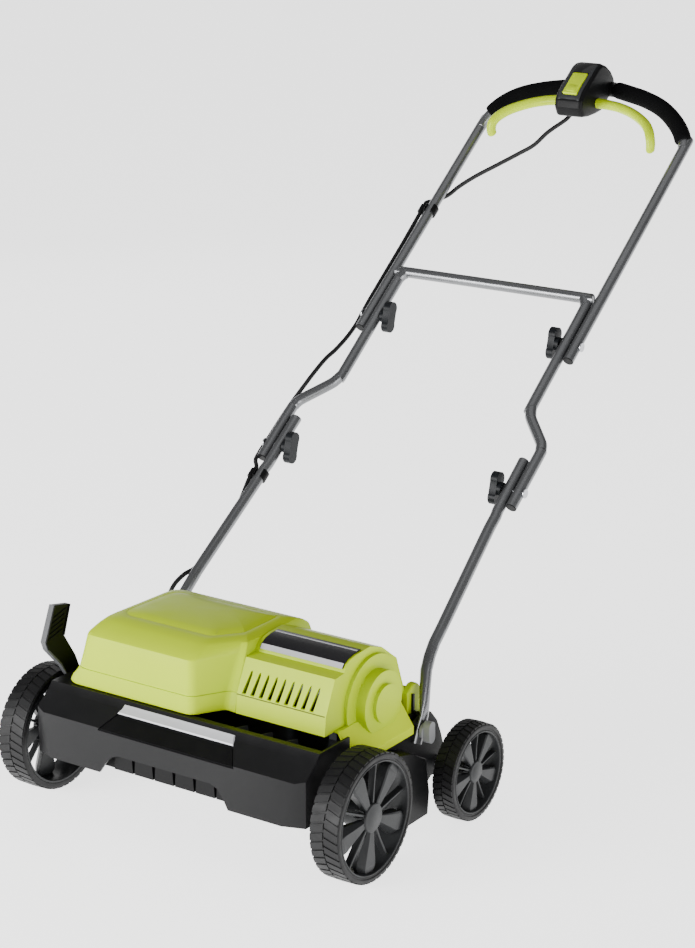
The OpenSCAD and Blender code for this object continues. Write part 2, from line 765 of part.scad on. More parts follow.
module middle_frame() {
    color("#a7a9ab") handle_frame() difference() {
        swept_pipe(whole_bend(middle_bend), round_w(tube_r), round_w(tube_in_r), tube_sides, [0, 0, 1]);
        both_sides() rod_x(bolt_r, 230, 260, [0, 0]);
        both_sides() rod_x(bolt_r + running, 170, 200, [upper_fold_s, 0]);
    }
}

module upper_tube() {
    color("#a7a9ab") handle_frame() difference() {
        swept_pipe(whole_bend(upper_bend), round_w(tube_r), round_w(tube_in_r), tube_sides, [0, 0, 1]);
        both_sides() rod_x(bolt_r, 195, 220, [upper_fold_s, 0]);
    }
}

// Domed clamp bolts: the head is outside, the thread runs into the knob
module middle_bolts() {
    color("#c9ccd0") handle_frame() both_sides() clamp_bolt(middle_tube_out_x + tube_r, 203, 0);
}
module upper_bolts() {
    color("#c9ccd0") handle_frame() both_sides() clamp_bolt(upper_tube_x + tube_r, 164, upper_fold_s);
}
module clamp_bolt(head_x, end_x, s) {
    rod_x(bolt_r, end_x, head_x, [s, 0]);
    rod_x(8, head_x, head_x + 3, [s, 0]);
}

fold_knob_x = 196.6;
wing_knob_x = 158.7;
module fold_knob_left() { handle_frame() on_side(-1) wing_knob(fold_knob_x, 0); }
module fold_knob_right() { handle_frame() wing_knob(fold_knob_x, 0); }
module wing_knob_left() { handle_frame() on_side(-1) wing_knob(wing_knob_x, upper_fold_s); }
module wing_knob_right() { handle_frame() wing_knob(wing_knob_x, upper_fold_s); }
module wing_knob(x0, s) {
    color("#4e565f") difference() {
        union() {
            rod_x(11, x0 + 8, x0 + 20, [s, 0]);
            along_x(x0, x0 + 13) translate([s, 0]) rotate(38) union() {
                square([34, 22], center = true);
                translate([15, 0]) circle(r = 12);
                translate([-15, 0]) circle(r = 12);
            }
        }
        rod_x(bolt_r + running, x0 + 5, x0 + 22, [s, 0]);
    }
}

module foam_grip(points) {
    swept_pipe(points, round_w(grip_r), round_w(tube_r), tube_sides, [0, 0, 1]);
}
module foam_grips() {
    color("#1b1c1e") handle_frame() {
        foam_grip([for (i = [0 : grip_points[0] - 1]) upper_bend[i]]);
        foam_grip([for (i = [0 : grip_points[1] - 1]) flip_x(upper_bend[i])]);
    }
}

module switch_box() {
    color("#222326") handle_frame() difference() {
        union() {
            along_x(-box_half, box_half) polygon(box_outline);
            rod_x(grip_r - 1.5, -collar_half, collar_half, grip_bar);
        }
        along_x(-box_half + 2.5, box_half - 2.5) polygon(box_inner);
        rod_x(tube_r, -40, 40, grip_bar);
        both_sides() translate([20, 798, 41.5]) cube([12, 28, 19.5]);
        translate([-15.5, 781, 84]) cube([31, 53, 12]);
        strut(lead_upper_run[0] + [2, 4, 0.6], lead_upper_run[2], lead_r + 0.4);
    }
}

module start_button() {
    color("#c3d22f") handle_frame() difference() {
        translate([-15, 781.5, 83]) cube([30, 52, 11]);
        translate([-12, 784, 80]) cube([24, 47, 10]);
    }
}

module switch_lever_left() { color("#c0cf2e") handle_frame() on_side(-1) switch_lever(); }
module switch_lever_right() { color("#c0cf2e") handle_frame() switch_lever(); }
module switch_lever() {
    difference() {
        union() {
            translate([0, 0, 34]) linear_extrude(12) polygon(lever_blade);
            translate([0, 0, 14]) linear_extrude(24) polygon(lever_tip);
            translate([lever_pivot[0], lever_pivot[1] - 9, 42]) cube([38, 18, 16.5]);
            translate([lever_pivot[0], lever_pivot[1], 46.2]) cylinder(r = 10.4, h = 12.8);
        }
        translate([lever_pivot[0], lever_pivot[1], 40]) cylinder(r = 2.5 + running, h = 24);
    }
}

// ---- Supply lead ----

function to_machine(p) = [
    p[0],
    lower_fold[0] + p[1] * cos(handle_slope) - p[2] * sin(handle_slope),
    lower_fold[1] + p[1] * sin(handle_slope) + p[2] * cos(handle_slope)
];
module lead(points) {
    color("#202124") swept_rod(curve(points, lead_steps), round_w(lead_r), lead_sides, normal_dir);
}
module lead_upper() {
    lead([for (p = lead_upper_run) to_machine(p)]);
}
module lead_middle() {
    lead([for (p = lead_middle_run) to_machine(p)]);
}
module lead_lower() {
    lead(lead_lower_run);
}

// Spring clip round a tube, open at the top, with an eye for the lead beside it
clip_w = 16;
module lead_clip(tube_x, lead_x, s) {
    color("#1c1d1e") handle_frame() translate([0, s - clip_w / 2, 0]) rotate([-90, 0, 0]) difference() {
        union() {
            translate([tube_x, 0, 0]) cylinder(r = tube_r + 3, h = clip_w);
            translate([lead_x, 0, 0]) cylinder(r = lead_r + 2.7, h = clip_w);
        }
        translate([tube_x, 0, -1]) cylinder(r = tube_r + 0.02, h = clip_w + 2);
        translate([lead_x, 0, -1]) cylinder(r = lead_r + 0.3, h = clip_w + 2);
        translate([tube_x - 7, -20, -1]) cube([14, 18, clip_w + 2]);
    }
}
module lead_clip_upper() {
    lead_clip(lead_clips[0][0], lead_clips[0][1], lead_clips[0][2]);
}
module lead_clip_lower() {
    lead_clip(lead_clips[1][0], lead_clips[1][1], lead_clips[1][2]);
}

module cable_gland() {
    color("#1f2022") rod_x(8, -265, -cheek_x[1], lead_gland);
}

// ---- The machine ----

module place() {
    translate([0, -foot_mid_y, 0]) children();
}

place() deck_shell();
place() side_pods();
place() front_grille();
place() badge_plate();
place() badge_strip();
place() hood_left();
place() hood_right();
place() power_label();
place() belt_cover();
place() side_panel();
place() hood_screws();
place() motor_can();
place() shaft_bearings();
place() terminal_box();
place() handle_brackets();
place() rear_axles();
place() flap_pin();
place() drive_belt();
place() cable_gland();
place() pivot_bolts();
place() front_axle_crank();
place() depth_lever();
place() tyre_front_left();
place() tyre_front_right();
place() tyre_rear_left();
place() tyre_rear_right();
place() rim_front_left();
place() rim_front_right();
place() rim_rear_left();
place() rim_rear_right();
place() reel_shaft();
place() reel_discs();
place() tine_bars();
place() spring_tines();
place() reel_pulley();
place() armature();
place() cooling_fan();
place() motor_pulley();
place() rear_flap();
place() lower_tubes();
place() lead_clip_lower();
place() lead_lower();
place() pivot_knob_left();
place() pivot_knob_right();
place() middle_frame();
place() middle_bolts();
place() lead_middle();
place() fold_knob_left();
place() fold_knob_right();
place() upper_tube();
place() upper_bolts();
place() lead_clip_upper();
place() lead_upper();
place() wing_knob_left();
place() wing_knob_right();
place() foam_grips();
place() switch_box();
place() start_button();
place() switch_lever_left();
place() switch_lever_right();
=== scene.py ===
"""Lawn dethatcher: the shown pieces, placed on the CAD frame."""
import json
import math

import bmesh
import bpy
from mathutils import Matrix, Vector


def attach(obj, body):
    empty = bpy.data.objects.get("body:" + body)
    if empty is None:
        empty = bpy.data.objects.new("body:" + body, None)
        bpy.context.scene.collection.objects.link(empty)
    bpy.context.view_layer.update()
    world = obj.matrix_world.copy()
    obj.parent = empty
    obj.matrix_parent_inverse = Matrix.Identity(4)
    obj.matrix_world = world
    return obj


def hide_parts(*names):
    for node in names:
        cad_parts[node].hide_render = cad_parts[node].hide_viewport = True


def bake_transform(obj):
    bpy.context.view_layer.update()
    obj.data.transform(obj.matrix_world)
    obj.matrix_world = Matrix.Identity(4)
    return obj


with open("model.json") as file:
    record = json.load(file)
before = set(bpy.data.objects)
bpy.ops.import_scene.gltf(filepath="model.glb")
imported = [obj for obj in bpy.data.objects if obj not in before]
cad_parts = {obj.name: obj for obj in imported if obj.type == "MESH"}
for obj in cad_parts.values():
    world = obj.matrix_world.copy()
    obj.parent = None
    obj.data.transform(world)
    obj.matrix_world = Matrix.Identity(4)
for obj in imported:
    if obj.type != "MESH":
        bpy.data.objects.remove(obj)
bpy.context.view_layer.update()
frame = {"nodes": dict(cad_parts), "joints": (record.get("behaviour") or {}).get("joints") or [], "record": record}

MM = 0.001
JOINT = {j["name"]: j for j in frame["joints"]}
FRONT_Y = JOINT["wheel_front_left_spin"]["pos_m"][1]
FOLD = Vector((0, *JOINT["middle_fold"]["pos_m"][1:]))
NORMAL = -Vector(JOINT["start_button_press"]["axis"])
ALONG = NORMAL.cross(Vector((1, 0, 0)))


def at(x, y, z):
    """Row-frame point from millimetres about the front axle's ground line."""
    return Vector((x * MM, y * MM + FRONT_Y, z * MM))


def across(y, z, x):
    """The same point, for side outlines of (y, z) extruded along x."""
    return at(x, y, z)


def up_handle(x, s, o):
    """Row-frame point from millimetres in the handle's own frame: s up the slope, o out of it."""
    return FOLD + Vector((x * MM, 0, 0)) + ALONG * (s * MM) + NORMAL * (o * MM)


def srgb(r, g, b):
    def lin(c):
        c /= 255
        return c / 12.92 if c <= 0.04045 else ((c + 0.055) / 1.055) ** 2.4
    return lin(r), lin(g), lin(b), 1.0


# ---- Camera, made first: the photograph's view ----
EYE = at(2174.16, -2760.07, 1639.96)
AIM = at(272.8, 0, 616.7)
camera = bpy.data.objects.new("camera", bpy.data.cameras.new("camera"))
bpy.context.scene.collection.objects.link(camera)
bpy.context.scene.camera = camera
camera.data.lens = 94.51
camera.data.sensor_width = 36
camera.location = EYE
camera.rotation_mode = "QUATERNION"
camera.rotation_quaternion = (AIM - EYE).to_track_quat("-Z", "Y")
camera.data.clip_start, camera.data.clip_end = 0.05, 60


# ---- Materials ----
TONE_SCALE = 8.0
RAMP = (0.3, 0.7)
BUMP_DEPTH = 0.0004


def finish_material(name, low, high, rough, grain, bump, metallic=0.0, coat=0.0,
                    stretch=(1, 1, 1), shine=0.25):
    """Procedural finish: a cloudy tone, uneven roughness and a fine grain, all from noise."""
    mat = bpy.data.materials.new(name)
    mat.use_nodes = True
    tree = mat.node_tree
    add, link = tree.nodes.new, tree.links.new
    shader = tree.nodes["Principled BSDF"]
    coords = add("ShaderNodeTexCoord")
    mapping = add("ShaderNodeMapping")
    mapping.inputs["Scale"].default_value = stretch
    link(coords.outputs["Object"], mapping.inputs["Vector"])

    def noise(scale, detail):
        node = add("ShaderNodeTexNoise")
        node.inputs["Scale"].default_value = scale
        node.inputs["Detail"].default_value = detail
        link(mapping.outputs["Vector"], node.inputs["Vector"])
        return node.outputs["Fac"]

    def ramp(source, a, b):
        node = add("ShaderNodeValToRGB")
        first, second = node.color_ramp.elements[0], node.color_ramp.elements[1]
        first.position, second.position = RAMP
        first.color, second.color = a, b
        link(source, node.inputs["Fac"])
        return node.outputs["Color"]

    link(ramp(noise(TONE_SCALE, 4), low, high), shader.inputs["Base Color"])
    r0, r1 = rough
    link(ramp(noise(TONE_SCALE * 5, 5), (r0, r0, r0, 1), (r1, r1, r1, 1)), shader.inputs["Roughness"])
    surface = add("ShaderNodeBump")
    surface.inputs["Strength"].default_value = bump
    surface.inputs["Distance"].default_value = BUMP_DEPTH
    link(noise(grain, 3), surface.inputs["Height"])
    link(surface.outputs["Normal"], shader.inputs["Normal"])
    shader.inputs["Metallic"].default_value = metallic
    shader.inputs["Coat Weight"].default_value = coat
    shader.inputs["Coat Roughness"].default_value = 0.25
    shader.inputs["Specular IOR Level"].default_value = shine
    return mat


# Two tones, the range of roughness, then how fine and how deep the grain is
FINISH = {
    "deck_plastic": ((17, 17, 18), (21, 21, 22), (0.34, 0.42), 1500, 0.25, {"shine": 0.16}),
    "trim_plastic": ((9, 9, 10), (13, 13, 14), (0.36, 0.46), 1500, 0.25, {"shine": 0.12}),
    "hood_plastic": ((176, 200, 0), (180, 204, 0), (0.34, 0.4), 1200, 0.06, {"shine": 0.12}),
    "panel_plastic": ((196, 217, 14), (200, 221, 18), (0.34, 0.4), 1200, 0.06, {"shine": 0.12}),
    # flap_plastic: the flap's lime darkened to olive, painted shade for a rear flap that faces away from the lamps
    "flap_plastic": ((120, 136, 8), (126, 142, 12), (0.42, 0.5), 1300, 0.15, {}),
    "badge_silver": ((176, 176, 180), (186, 186, 189), (0.28, 0.36), 1500, 0.08, {"metallic": 0.1}),
    "label": ((20, 19, 22), (26, 25, 28), (0.16, 0.22), 900, 0.04, {"coat": 0.4}),
    "motor_steel": ((90, 93, 97), (102, 105, 109), (0.35, 0.5), 900, 0.15, {"metallic": 0.8}),
    "bright_steel": ((170, 172, 176), (188, 189, 192), (0.22, 0.36), 700, 0.12,
                     {"metallic": 1.0, "stretch": (0.2, 1, 1)}),
    "copper_winding": ((132, 74, 44), (150, 86, 52), (0.35, 0.5), 800, 0.3,
                       {"metallic": 0.7, "stretch": (0.1, 1, 1)}),
    "belt_rubber": ((14, 14, 15), (19, 19, 20), (0.65, 0.8), 1100, 0.3, {}),
    "tyre_rubber": ((10, 10, 11), (15, 15, 16), (0.46, 0.6), 1100, 0.3, {}),
    "rim_plastic": ((34, 35, 36), (40, 41, 42), (0.32, 0.42), 1500, 0.2, {"shine": 0.18}),
    "tube_paint": ((112, 113, 115), (122, 123, 125), (0.24, 0.3), 1300, 0.15, {"metallic": 0.85}),
    "knob_plastic": ((16, 18, 21), (21, 23, 26), (0.36, 0.46), 1400, 0.25, {"shine": 0.14}),
    "pivot_knob_plastic": ((126, 127, 129), (136, 137, 139), (0.36, 0.46), 1400, 0.2, {}),
    "grip_foam": ((4, 4, 5), (7, 7, 8), (0.85, 0.95), 900, 0.7, {"shine": 0.08}),
    "lead_rubber": ((16, 16, 17), (22, 22, 23), (0.45, 0.6), 1200, 0.2, {}),
    "lever_plastic": ((174, 198, 0), (178, 202, 2), (0.28, 0.34), 1200, 0.06, {"shine": 0.18}),
    "dark_gloss": ((6, 6, 7), (9, 9, 10), (0.1, 0.16), 900, 0.03, {"coat": 0.6}),
    "frame_satin": ((40, 41, 43), (46, 47, 49), (0.3, 0.38), 1400, 0.15, {}),
    "lever_edge": ((70, 71, 73), (78, 79, 81), (0.4, 0.5), 1400, 0.2, {}),
    "groove": ((70, 80, 4), (78, 88, 8), (0.6, 0.7), 900, 0.1, {}),
}
MATERIAL = {
    name: finish_material(name, srgb(*low), srgb(*high), rough, grain, bump, **more)
    for name, (low, high, rough, grain, bump, more) in FINISH.items()
}
# The record's material slot of each CAD node
SLOT_OF = {s["node"]: s["material_slot"] for s in frame["record"]["subparts"]}


# ---- Mesh building ----
class Shape:
    """Collects vertices and faces, then makes one named piece."""

    def __init__(self):
        self.verts, self.faces = [], []

    def add(self, verts, faces):
        n = len(self.verts)
        self.verts += verts
        self.faces += [tuple(i + n for i in f) for f in faces]
        return self

    def loft(self, rings, closed=False):
        """Joins rings of equal length; closed joins the last ring to the first, else both ends are capped."""
        m, n = len(rings[0]), len(rings)
        verts = [v for ring in rings for v in ring]
        faces = []
        for i in range(n if closed else n - 1):
            j = (i + 1) % n
            faces += [(i * m + k, j * m + k, j * m + (k + 1) % m, i * m + (k + 1) % m) for k in range(m)]
        if not closed:
            faces += [tuple(range(m)), tuple(range((n - 1) * m, n * m))[::-1]]
        return self.add(verts, faces)

    def prism(self, outline, place, d0, d1):
        """Extrudes an outline of (a, b) pairs from d0 to d1 with place(a, b, d)."""
        return self.loft([[place(a, b, d) for a, b in outline] for d in (d0, d1)])

    def turned(self, profile, place, n=64):
        """Closed profile of (x, r) pairs turned about x; place(x, u, v)."""
        return self.loft([[place(x, r * math.cos(a), r * math.sin(a)) for x, r in profile]
                          for a in (2 * math.pi * i / n for i in range(n))], closed=True)

    def sweep(self, points, section, up):
        """Sweeps (u, v) sections along points; section is one list or one per point."""
        rings = []
        for i, p in enumerate(points):
            t = (points[min(i + 1, len(points) - 1)] - points[max(i - 1, 0)]).normalized()
            u = t.cross(up).normalized()
            v = u.cross(t)
            sec = section[i] if isinstance(section[0], list) else section
            rings.append([p + u * (a * MM) + v * (b * MM) for a, b in sec])
        return self.loft(rings)

    def make(self, name, material, body, replaces=(), bevel=0.0, segments=3, angle=38.0, ride=True):
        data = bpy.data.meshes.new(name)
        data.from_pydata([tuple(v) for v in self.verts], [], self.faces)
        data.validate()
        bm = bmesh.new()
        bm.from_mesh(data)
        bmesh.ops.recalc_face_normals(bm, faces=bm.faces)
        bm.to_mesh(data)
        bm.free()
        obj = bpy.data.objects.new(name, data)
        bpy.context.scene.collection.objects.link(obj)
        data.materials.append(MATERIAL[material])
        data.shade_smooth()
        data.set_sharp_from_angle(angle=math.radians(angle))
        if bevel:
            add_bevel(obj, bevel, segments, angle - 6)
        if replaces:
            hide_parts(*replaces)
        if ride:
            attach(obj, body)
        return obj


def add_bevel(obj, width, segments=2, angle=32.0):
    mod = obj.modifiers.new("edges", "BEVEL")
    mod.width = width * MM
    mod.segments = segments
    mod.limit_method = "ANGLE"
    mod.angle_limit = math.radians(angle)
    mod.harden_normals = True


def circle(r, n):
    return [(r * math.cos(2 * math.pi * k / n), r * math.sin(2 * math.pi * k / n)) for k in range(n)]


def rounded(corners, radius, steps=5):
    """Polygon with each corner replaced by an arc; radius is one number or one per corner."""
    out, n = [], len(corners)
    for i, c in enumerate(corners):
        c = Vector(c)
        a, b = Vector(corners[i - 1]) - c, Vector(corners[(i + 1) % n]) - c
        r = radius[i] if isinstance(radius, (list, tuple)) else radius
        half = a.angle(b) / 2
        reach = min(r / max(math.tan(half), 1e-3), a.length * 0.48, b.length * 0.48)
        start, end = c + a.normalized() * reach, c + b.normalized() * reach
        for k in range(steps + 1):
            t = k / steps
            out.append(tuple(start * (1 - t) ** 2 + c * (2 * t * (1 - t)) + end * t * t))
    return out


def curve(points, steps=8):
    """Catmull-Rom curve through the points."""
    pts = [Vector(p) for p in points]
    out = []
    for i in range(len(pts) - 1):
        a, b, c, d = pts[max(i - 1, 0)], pts[i], pts[i + 1], pts[min(i + 2, len(pts) - 1)]
        for k in range(steps):
            t = k / steps
            out.append(0.5 * (2 * b + (c - a) * t + (2 * a - 5 * b + 4 * c - d) * t * t
                              + (3 * b - a - 3 * c + d) * t ** 3))
    return out + [pts[-1]]


# ---- CAD nodes that stay in view: material, softened edges ----
WELD_GAP = 0.00002
FLAT_ANGLE = math.radians(0.4)
SHARP_ANGLE = math.radians(42)
# Edge radius in millimetres
EDGE = {
    "deck_shell": 1.6, "side_pods": 3.0, "hood_right": 1.6, "belt_cover": 1.8, "side_panel": 0.8,
    "switch_box": 2.0,
    "depth_lever": 1.4, "fold_knob_left": 2.6, "fold_knob_right": 2.6, "wing_knob_left": 2.6,
    "wing_knob_right": 2.6, "badge_plate": 0.4, "front_grille": 1.0, "rear_flap": 0.8, "handle_brackets": 1.0,
    "lead_clip_upper": 1.0, "lead_clip_lower": 1.0, "cable_gland": 0.8, "pivot_bolts": 0.8,
    "middle_bolts": 1.2,
    "upper_bolts": 1.2, "motor_can": 1.5, "terminal_box": 1.5, "reel_discs": 0.5, "front_axle_crank": 0.8,
    "hood_screws": 0.8,
}


def finish_node(node, obj):
    obj.data.materials.clear()
    obj.data.materials.append(MATERIAL[SLOT_OF[node]])
    if "custom_normal" in obj.data.attributes:
        obj.data.attributes.remove(obj.data.attributes["custom_normal"])
    obj.data.shade_smooth()
    weld = obj.modifiers.new("weld", "WELD")
    weld.merge_threshold = WELD_GAP
    flat = obj.modifiers.new("flat", "DECIMATE")
    flat.decimate_type = "DISSOLVE"
    flat.angle_limit = FLAT_ANGLE
    if node in EDGE:
        add_bevel(obj, EDGE[node])
    split = obj.modifiers.new("split", "EDGE_SPLIT")
    split.split_angle = SHARP_ANGLE


for node, obj in frame["nodes"].items():
    finish_node(node, obj)


# ---- Wheels: side, radius, inner face x, width, axle (y, z) ----
WHEELS = {
    "front_left": (-1, 100, 273, 51, (0, 100)), "front_right": (1, 100, 273, 51, (0, 100)),
    "rear_left": (-1, 78, 296, 38, (269, 78)), "rear_right": (1, 78, 296, 38, (269, 78)),
}
TREAD = 1.8
TREAD_BARS = 44
TREAD_SLANT = 0.035
LIP = 11.5
SPOKES = 5
SPOKE_START = 46


def wheel_place(which):
    """Place function of one wheel: (x from its inner face, u, v about the axle)."""
    side, radius, x_in, width, (wy, wz) = WHEELS[which]

    def spot(x, u, v):
        return at(side * (x_in + x), wy + u, wz + v)

    return spot, radius, width


def make_tyre(which):
    spot, radius, width = wheel_place(which)
    r = radius - TREAD
    bore = radius - LIP
    profile = [
        (2.2, bore), (0.8, bore + 0.6), (0, r - 5), (0.7, r - 2), (3, r), (width - 3, r),
        (width - 0.7, r - 2), (width, r - 5), (width - 0.4, r - 6.5), (width - 1.4, r - 7),
        (width - 1.4, bore),
    ]
    shape = Shape().turned(profile, spot, 96)
    for row, (x0, x1) in enumerate(((1.6, width / 2 - 0.9), (width / 2 + 0.9, width - 1.6))):
        for i in range(TREAD_BARS):
            mid = 2 * math.pi * (i + row * 0.5) / TREAD_BARS
            half = math.pi / TREAD_BARS * 0.8
            slant = TREAD_SLANT if row else -TREAD_SLANT
            ring = []
            for x, lean, tall in ((x0, -slant, row), (x1, slant, 1 - row)):
                top = radius - (0 if tall else 0.7)
                bar = ((-1, 1.02, r - 2.5), (-1, 0.92, top), (1, 0.92, top), (1, 1.02, r - 2.5))
                ring.append([(x, mid + lean + s * half * k, q) for s, k, q in bar])
            shape.loft([[spot(x, q * math.cos(a), q * math.sin(a)) for x, a, q in sec] for sec in ring])
    shape.make("tyre_" + which + "_treaded", "tyre_rubber", "wheel_" + which,
               replaces=["tyre_" + which], angle=30)


def blade(shape, spot, angle, stations, back):
    """One spoke: stations of (r, half widths, face x, face x of the folded edge)."""
    c, s = math.cos(angle), math.sin(angle)
    rings = []
    for r, w0, w1, face, fold in stations:
        sec = [(-w0, fold - back), (-w0, fold), (-w0 * 0.55, face), (w1 * 0.8, face), (w1, face - 1.4),
               (w1, fold - back)]
        rings.append([spot(x, r * c - t * s, r * s + t * c) for t, x in sec])
    shape.loft(rings)


def make_rim(which):
    spot, radius, width = wheel_place(which)
    k = radius / 100
    outer = radius - LIP
    hub = 23 * k
    barrel = [
        (0.5, outer), (width - 2.6, outer), (width - 1.0, outer - 0.8), (width - 0.6, outer - 2.2),
        (width - 1.6, outer - 3.4), (width - 9, outer - 4.2), (width - 16, outer - 4.4), (0.5, outer - 3.4),
    ]
    hub_profile = [
        (4, 0.01), (4, hub * 0.86), (width - 17, hub * 0.92), (width - 6.5, hub), (width - 4.4, hub - 1.2),
        (width - 3.9, hub - 3), (width - 3.6, hub * 0.62), (width - 3.3, hub * 0.58), (width - 3.1, 0.01),
    ]
    shape = Shape().turned(barrel, spot, 96)
    shape.turned(hub_profile, spot, 64)
    f = width - 5.0
    wide = [
        (hub * 0.8, 6.5 * k, 6.5 * k, f - 1, f - 4), (hub + 8 * k, 9 * k, 8.5 * k, f - 0.4, f - 6),
        (outer * 0.55, 14 * k, 12 * k, f, f - 9), (outer * 0.78, 20 * k, 17 * k, f + 0.3, f - 10),
        (outer * 0.86, 20 * k, 17.5 * k, f + 0.2, f - 10), (outer - 3.4, 15 * k, 13 * k, f - 0.6, f - 8),
    ]
    thin = [
        (hub * 0.8, 2.6 * k, 2.6 * k, f - 2, f - 3), (outer * 0.6, 1.9 * k, 1.9 * k, f - 3, f - 4),
        (outer - 3.6, 2.2 * k, 2.2 * k, f - 2.6, f - 3.6),
    ]
    short = [(hub * 0.8, 1.8 * k, 1.8 * k, f - 3, f - 4), (hub + 9 * k, 1.4 * k, 1.4 * k, f - 9, f - 10)]
    for i in range(SPOKES):
        a = math.radians(SPOKE_START + i * 360 / SPOKES)
        blade(shape, spot, a, wide, 7)
        a += math.radians(180 / SPOKES)
        blade(shape, spot, a, thin, 10)
        for off in (-0.2, 0.2):
            blade(shape, spot, a + off, short, 6)
    shape.make("rim_" + which + "_spoked", "rim_plastic", "wheel_" + which,
               replaces=["rim_" + which], bevel=0.5, segments=2, angle=32)


for which in WHEELS:
    make_tyre(which)
    make_rim(which)


# ---- Left hood: a loft of rounded outlines, with a groove low down and one round the top panel ----
# Height, left, front, nose x, seam (x, y, y at the joint), right, back, inset
HOOD = [
    (201.6, -232, -40, 15, (44, 8, 10), 62, 226, 3), (203, -233, -40, 15, (44, 8, 10), 62, 226, 0.8),
    (206, -233, -40, 15, (44, 8, 10), 62, 226, 0), (214, -229, -39.8, 15, (44.5, 10, 12), 62, 225.5, 0),
    (223, -221, -39.4, 14.8, (45, 12, 14), 62, 225, 0), (231.4, -215, -39, 14.6, (46, 14, 17), 62, 224, 0),
    (231.9, -214.8, -39, 14.6, (46, 14, 17), 62, 224, 1.5),
    (232.7, -214.6, -39, 14.6, (46, 14, 17), 62, 224, 1.5),
    (233.2, -214.4, -39, 14.6, (46, 14, 17), 62, 224, 0),
    (260, -206.5, -37.4, 13.8, (49, 22, 26), 62, 217, 0), (284, -200.5, -36, 13, (52, 30, 34), 62, 206, 0),
    (288, -199, -34.8, 13, (53, 31, 36), 62, 203, 0), (290.5, -197.5, -32, 13.4, (53, 31, 37), 62, 200, 0),
    (298, -193.5, -18, 14, (54, 34, 40), 62, 188, 0), (304, -188, -6, 14, (53, 38, 44), 60, 174, 0),
    (306.4, -184, 1, 13, (51, 42, 48), 56, 166, 0), (308.4, -178, 11, 11, (46, 50, 56), 50, 158, 0),
    (309.8, -171, 21, 8, (38, 60, 64), 41, 151, 0),
    (309.3, -169.5, 22.5, 7.5, (36.6, 61, 65), 39.6, 149.8, 0),
    (310.4, -168, 24, 7, (35, 62, 66), 38, 148.6, 0), (313, -150, 42, -4, (22, 74, 78), 25, 140, 0),
    (315, -125, 62, -24, (4, 88, 92), 8, 130, 0), (316, -95, 80, -50, (-26, 98, 102), -22, 122, 0),
]
HOOD_CORNERS = [26, 20, 12, 3, 6, 24]


def hood_ring(z, left, front, nose, seam, right, back, inset):
    corners = [
        (left + inset, front + inset), (nose - inset, front + inset), (seam[0] - inset, seam[1] + inset),
        (right, seam[2]), (right, back - inset), (left + 8 + inset, back - inset),
    ]
    return [at(x, y, z) for x, y in rounded(corners, HOOD_CORNERS, 6)]


def make_hood_left():
    hood = Shape().loft([hood_ring(*row) for row in HOOD])
    hood.make("hood_left_moulded", "hood_plastic", "deck", replaces=["hood_left"], angle=28)


# ---- Deck trim ----
EAR = [
    (216, 162), (216, 203), (224, 210), (233, 214.5), (242, 214), (249, 209), (253.5, 200), (256, 184),
    (256, 168), (250, 160), (220, 158),
]
EAR_IN = 224
EAR_W = 12


def make_hinge_ears():
    """Lime ears that cover the ends of the flap hinge."""
    ears = Shape()
    for x in (EAR_IN, -EAR_IN - EAR_W):
        ears.prism(EAR, across, x, x + EAR_W)
    ears.make("flap_hinge_ears", "hood_plastic", "deck", bevel=2.4, angle=24)


STRIP_SIDE = [
    (-61.4, 184.2), (-60.4, 186.6), (-54.8, 191.3), (-51.6, 194.8), (-50.2, 196.6), (-49, 195.4), (-52, 190),
    (-58, 184),
]
STRIP_HALF = 110
STRIP_FOOT = 184
STRIP_TAPER = 0.42
STRIP_END = 0.985
STRIP_ROUND = 1.4


def make_badge_strip():
    """Silver strip of the badge, rounded over the top crease of the apron."""
    rings = []
    for t in (-1, -STRIP_END, STRIP_END, 1):
        ring = []
        for k, (y, z) in enumerate(STRIP_SIDE):
            rounding = STRIP_ROUND if abs(t) == 1 and k in (2, 3) else 0
            half = STRIP_HALF - (z - STRIP_FOOT) * STRIP_TAPER
            ring.append(at(t * half - math.copysign(rounding, t), y, z))
        rings.append(ring)
    Shape().loft(rings).make("badge_strip_bent", "badge_silver", "deck", replaces=["badge_strip"],
                             bevel=0.5, angle=24)


FIN = [(-33, 176), (-33, 199), (-26, 196), (4, 190), (8, 166), (-26, 168)]
FIN_HALF = 1.2


def make_intake_fins():
    """Three thin fins in the air intake behind the apron."""
    fins = Shape()
    for x in (88, 134, 180):
        fins.prism(FIN, across, x - FIN_HALF, x + FIN_HALF)
    fins.make("air_intake_fins", "frame_satin", "deck", bevel=0.4, angle=30)


LABEL_X = (71, 221)


def make_hood_right_trim():
    """Dark joint line under the slots of the right hood, and the silver strips of its label."""
    line = Shape().prism([(11.4, 231.2), (11.6, 232.6), (13, 232.6), (13, 231.2)], across, 62.5, 224)
    line.make("hood_right_joint_line", "groove", "deck")
    strips = Shape()
    strips.prism([(60.2, 291.6), (65.5, 298.6), (66.2, 298.1), (61, 291.2)], across, *LABEL_X)
    strips.prism([(99.6, 307.7), (102.4, 308.0), (102.4, 307.4), (99.6, 307.1)], across, *LABEL_X)
    strips.make("label_silver_strips", "badge_silver", "deck")


# ---- Depth lever: a paler front edge over the CAD blade, and slanted ribs on its inner face ----
PLATE_X = (-272.7, -262.8)
STEM_X = (-271.2, -262.8)
RIB_X = (-263.2, -261.4)
RIM_X = (-263.2, -261.2)
PLATE_EDGE = [
    (-25.6, 317.6), (-49, 262), (-43.8, 247.4), (-12.6, 213.2), (-10.4, 215.6), (-41.4, 249), (-46, 262),
    (-23, 316.6),
]
STEM_EDGE = [(-12.6, 213.2), (11.3, 175.7), (29.4, 111.8), (31.4, 112.4), (13.3, 176.5), (-10.6, 214.6)]
PLATE_FOOT = 262


